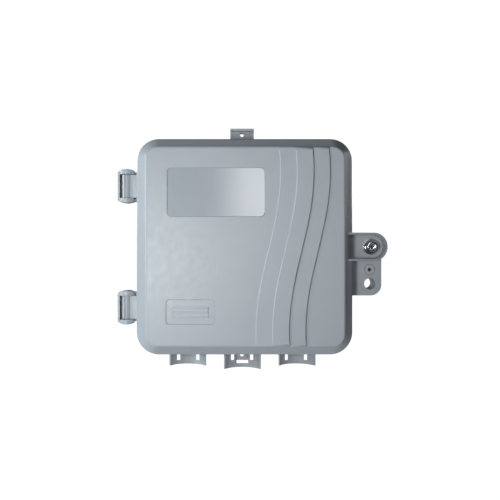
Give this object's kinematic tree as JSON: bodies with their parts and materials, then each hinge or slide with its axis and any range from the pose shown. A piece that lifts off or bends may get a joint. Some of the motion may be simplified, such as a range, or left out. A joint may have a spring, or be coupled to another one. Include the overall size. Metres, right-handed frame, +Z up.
{
  "type": "fiber termination box",
  "caption": "Wall-mounted fiber termination box: hinged rounded cover with a captive security bolt and padlock hasp, cable saddles below, splice tray and adapters inside.",
  "frame": {"origin": "centre of the base's flat back face, on the wall", "axes": "+Z up, +X to the right seen from the front, the cover faces -Y"},
  "size_m": [0.2926, 0.084, 0.2786],
  "materials": {
    "shell_plastic": "fine spark-eroded texture",
    "polished_plastic": "polished",
    "black_rubber": "matte",
    "stainless_steel": "satin",
    "plated_steel": "bright nickel plate",
    "zinc_steel": "zinc plate",
    "galvanised_steel": "galvanised sheet",
    "black_steel": "phosphated spring steel",
    "brass": "machined",
    "white_nylon": "moulded",
    "tray_plastic": "moulded",
    "clear_plastic": "clear moulded sheet",
    "sleeve_plastic": "heat-shrink sleeve",
    "adapter_plastic": "moulded",
    "cap_plastic": "moulded"
  },
  "bodies": {
    "base": {"base_shell": "shell_plastic", "hinge_pin_upper": "stainless_steel", "hinge_pin_lower": "stainless_steel", "threaded_insert": "brass", "grommet_left": "black_rubber", "grommet_middle": "black_rubber", "grommet_right": "black_rubber", "clamp_bar_left": "white_nylon", "clamp_bar_middle": "white_nylon", "clamp_bar_right": "white_nylon", "clamp_screws": "zinc_steel", "adapter_bracket": "galvanised_steel", "bracket_screws": "zinc_steel", "slack_spool": "white_nylon", "spool_screws": "zinc_steel", "tray_mount": "white_nylon", "tray_mount_screws": "zinc_steel", "tray_hinge_rod": "stainless_steel", "ground_bar": "brass", "ground_stud": "brass", "ground_nut": "brass", "hinge_bracket_upper": "shell_plastic", "hinge_bracket_lower": "shell_plastic", "latch_lug": "shell_plastic", "saddle_left": "shell_plastic", "saddle_middle": "shell_plastic", "saddle_right": "shell_plastic", "top_tab": "shell_plastic", "bottom_tab": "shell_plastic", "adapter_1": "adapter_plastic", "adapter_2": "adapter_plastic", "adapter_3": "adapter_plastic", "adapter_4": "adapter_plastic"},
    "cover": {"cover_shell": "shell_plastic", "latch_pocket": "shell_plastic", "hasp_plate": "shell_plastic", "knuckle_upper": "shell_plastic", "knuckle_lower": "shell_plastic", "gasket_frame": "shell_plastic", "cover_gasket": "black_rubber", "label_plate": "polished_plastic", "badge_plate": "shell_plastic"},
    "bolt_washer": {"bolt_washer": "plated_steel"},
    "bolt": {"security_bolt": "plated_steel", "retaining_ring": "black_steel"},
    "tray": {"splice_tray": "tray_plastic", "tray_lid": "clear_plastic", "splice_holder": "white_nylon", "splice_sleeves": "sleeve_plastic"},
    "cap_1": {"dust_cap_1": "cap_plastic"},
    "cap_2": {"dust_cap_2": "cap_plastic"},
    "cap_3": {"dust_cap_3": "cap_plastic"},
    "cap_4": {"dust_cap_4": "cap_plastic"}
  },
  "joints": [
    {"name": "cover_swing", "type": "hinge", "parent": "base", "child": "cover", "pos_m": [-0.1305, -0.038, 0], "axis": [0, 0, -1], "range_deg": [0, 105]},
    {"name": "bolt_advance", "type": "slide", "parent": "cover", "child": "bolt_washer", "axis": [0, -1, 0], "range_m": [0, 0.0085]},
    {"name": "bolt_turn", "type": "hinge", "parent": "bolt_washer", "child": "bolt", "pos_m": [0.138, -0.05, 0], "axis": [0, -1, 0], "range_deg": [0, 2410]},
    {"name": "tray_swing", "type": "hinge", "parent": "base", "child": "tray", "pos_m": [0, -0.038, 0.093], "axis": [-1, 0, 0], "range_deg": [0, 18]},
    {"name": "cap_1_pull", "type": "slide", "parent": "base", "child": "cap_1", "axis": [0, 0, -1], "range_m": [0, 0.012]},
    {"name": "cap_2_pull", "type": "slide", "parent": "base", "child": "cap_2", "axis": [0, 0, -1], "range_m": [0, 0.012]},
    {"name": "cap_3_pull", "type": "slide", "parent": "base", "child": "cap_3", "axis": [0, 0, -1], "range_m": [0, 0.012]},
    {"name": "cap_4_pull", "type": "slide", "parent": "base", "child": "cap_4", "axis": [0, 0, -1], "range_m": [0, 0.012]}
  ],
  "couplings": [
    {"joint": "bolt_turn", "follows": "bolt_advance", "rad_per_m": 4947.4}
  ]
}
